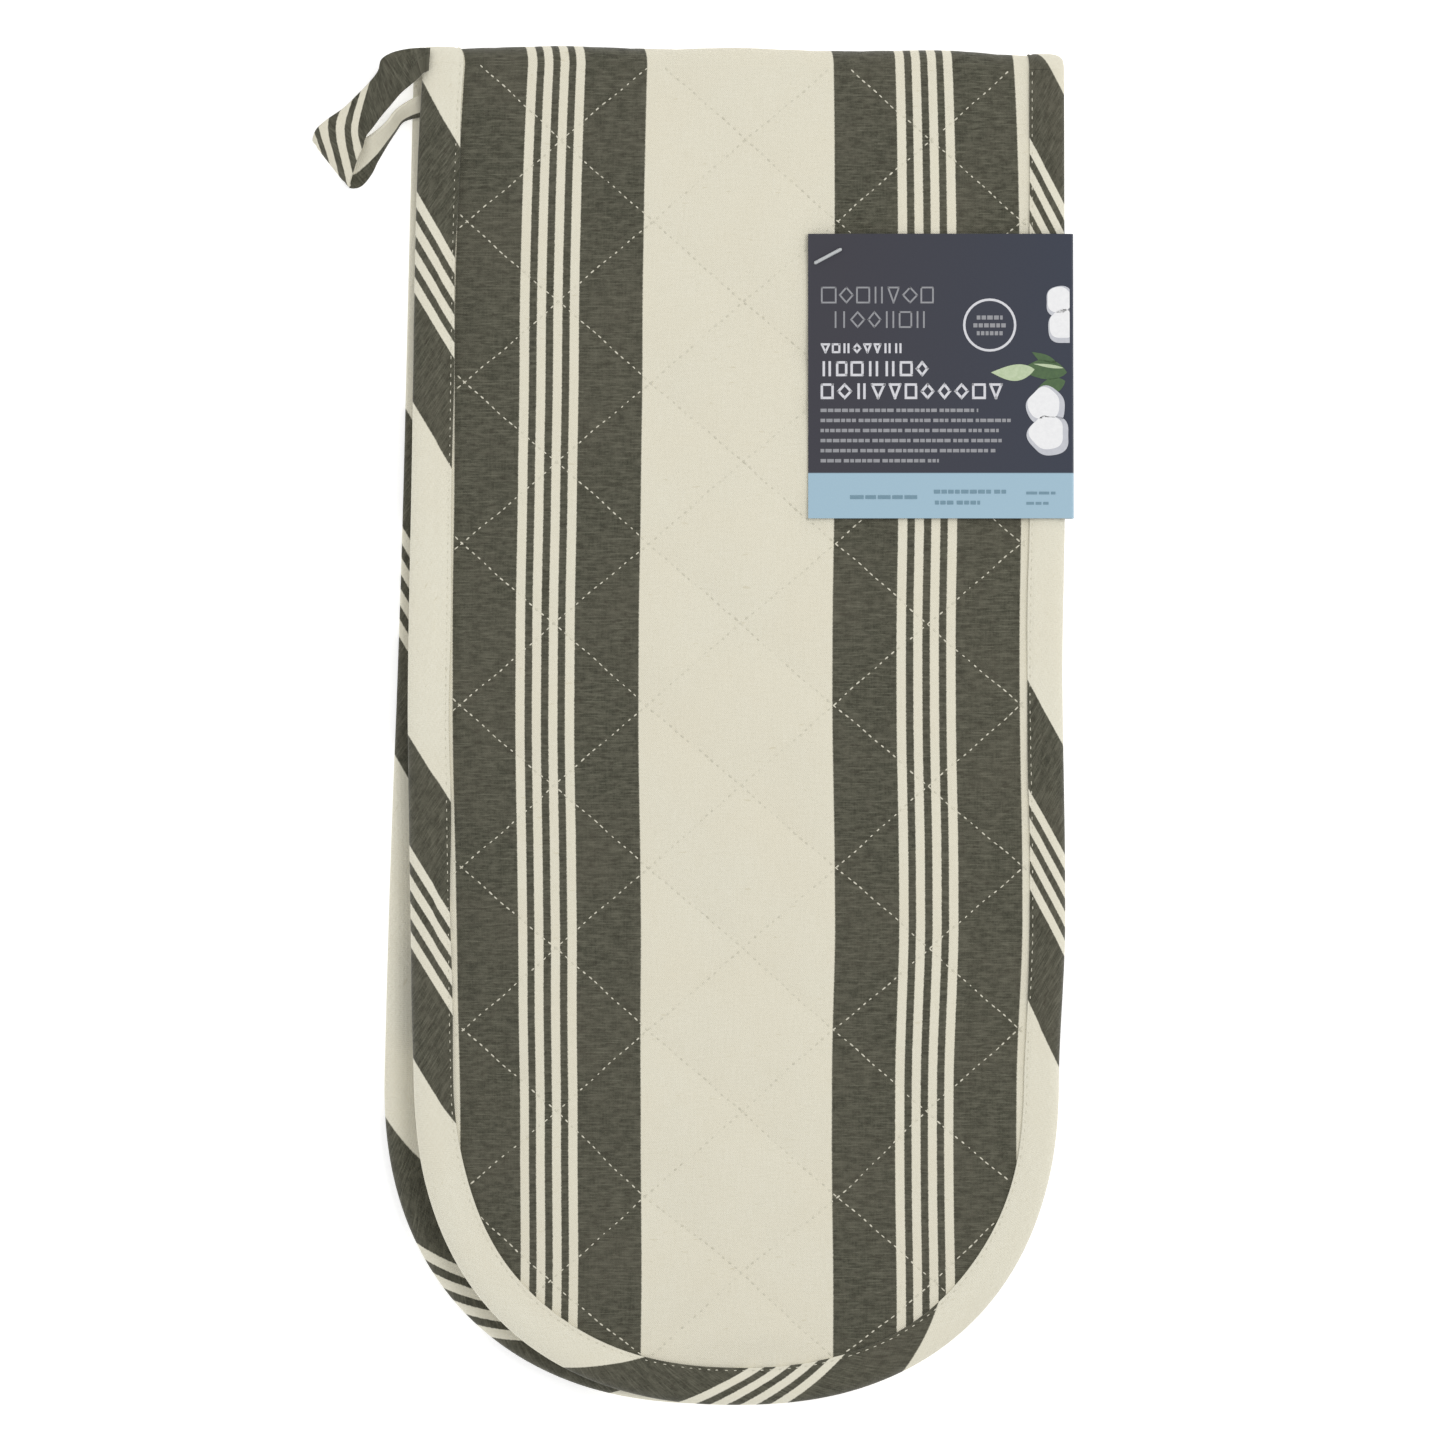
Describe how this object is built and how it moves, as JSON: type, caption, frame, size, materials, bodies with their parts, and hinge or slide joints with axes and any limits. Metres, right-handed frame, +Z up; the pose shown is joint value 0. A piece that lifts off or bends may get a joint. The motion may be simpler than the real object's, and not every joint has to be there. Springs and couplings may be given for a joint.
{
  "type": "double oven mitt",
  "caption": "Quilted cotton oven mitt folded in half: a long padded strip with a hand pocket at each end, bound edges, a hanging loop and a pinned card sleeve",
  "frame": {"origin": "centre of the face the mitt rests on, on its long centre line, midway between the fold and the rounded tips", "axes": "+X across the mitt, towards the card sleeve; +Y along it, towards the fold; +Z up, out of the upper face"},
  "size_m": [0.2234, 0.3991, 0.0242],
  "materials": {
    "striped_canvas": "woven cotton canvas, cream with olive-grey stripes",
    "striped_binding": "the same canvas cut on the bias and folded round the edge",
    "cotton_lining": "plain natural cotton",
    "cotton_wadding": "soft felted cotton wadding",
    "quilting_thread": "cream sewing thread",
    "loop_canvas": "folded and stitched striped canvas strap",
    "printed_card": "matt printed card, charcoal with a pale blue band",
    "tag_plastic": "translucent white nylon"
  },
  "bodies": {
    "back_half": {"back_edge_binding": "striped_binding", "back_lining": "cotton_lining", "back_outer_fabric": "striped_canvas", "back_quilting_thread": "quilting_thread", "back_wadding": "cotton_wadding", "fold_left_binding": "striped_binding", "fold_lining": "cotton_lining", "fold_outer_fabric": "striped_canvas", "fold_right_binding": "striped_binding", "fold_wadding": "cotton_wadding"},
    "front_strap": {"front_strap_left_binding": "striped_binding", "front_strap_lining": "cotton_lining", "front_strap_outer_fabric": "striped_canvas", "front_strap_quilting_thread": "quilting_thread", "front_strap_right_binding": "striped_binding", "front_strap_wadding": "cotton_wadding", "card_sleeve": "printed_card"},
    "front_hand": {"front_hand_edge_binding": "striped_binding", "front_hand_lining": "cotton_lining", "front_hand_outer_fabric": "striped_canvas", "front_hand_quilting_thread": "quilting_thread", "front_hand_wadding": "cotton_wadding"},
    "front_pocket": {"front_pocket_lining": "cotton_lining", "front_pocket_mouth_binding": "striped_binding", "front_pocket_outer_fabric": "striped_canvas", "front_pocket_quilting_thread": "quilting_thread", "front_pocket_wadding": "cotton_wadding"},
    "back_pocket": {"back_pocket_lining": "cotton_lining", "back_pocket_mouth_binding": "striped_binding", "back_pocket_outer_fabric": "striped_canvas", "back_pocket_quilting_thread": "quilting_thread", "back_pocket_wadding": "cotton_wadding"},
    "hanging_loop": {"hanging_loop": "loop_canvas"},
    "tag_pin": {"tag_pin": "tag_plastic"}
  },
  "joints": [
    {"name": "fold_hinge", "type": "hinge", "parent": "back_half", "child": "front_strap", "pos_m": [0, 0.1935, 0.0055], "axis": [-0.9999, 0.0122, 0], "range_deg": [0, 176.18], "deforming": ["fold_left_binding", "fold_lining", "fold_outer_fabric", "fold_right_binding", "fold_wadding"]},
    {"name": "front_wrist_bend", "type": "hinge", "parent": "front_strap", "child": "front_hand", "pos_m": [0, -0.00383, 0.02219], "axis": [-0.9999, 0.0122, 0], "range_deg": [0, 3.83]},
    {"name": "front_pocket_mouth", "type": "hinge", "parent": "front_hand", "child": "front_pocket", "pos_m": [0, -0.18703, 0.0124], "axis": [-1, 0, 0], "range_deg": [0, 10]},
    {"name": "back_pocket_mouth", "type": "hinge", "parent": "back_half", "child": "back_pocket", "pos_m": [-0.00931, -0.18759, 0.0118], "axis": [0.9997, -0.0244, 0], "range_deg": [0, 10]},
    {"name": "loop_swing", "type": "hinge", "parent": "front_strap", "child": "hanging_loop", "pos_m": [-0.0955, 0.19, 0.0112], "axis": [0, 1, 0], "range_deg": [0, 150]},
    {"name": "tag_pin_swivel", "type": "hinge", "parent": "front_strap", "child": "tag_pin", "pos_m": [0.02661, 0.13749, 0.01473], "axis": [0.0008, 0.0667, 0.9978], "continuous": true}
  ],
  "couplings": [
    {"joint": "front_wrist_bend", "follows": "fold_hinge", "ratio": 0.021698},
    {"joint": "front_pocket_mouth", "follows": "fold_hinge", "ratio": 0.05676},
    {"joint": "back_pocket_mouth", "follows": "fold_hinge", "ratio": 0.05676}
  ]
}
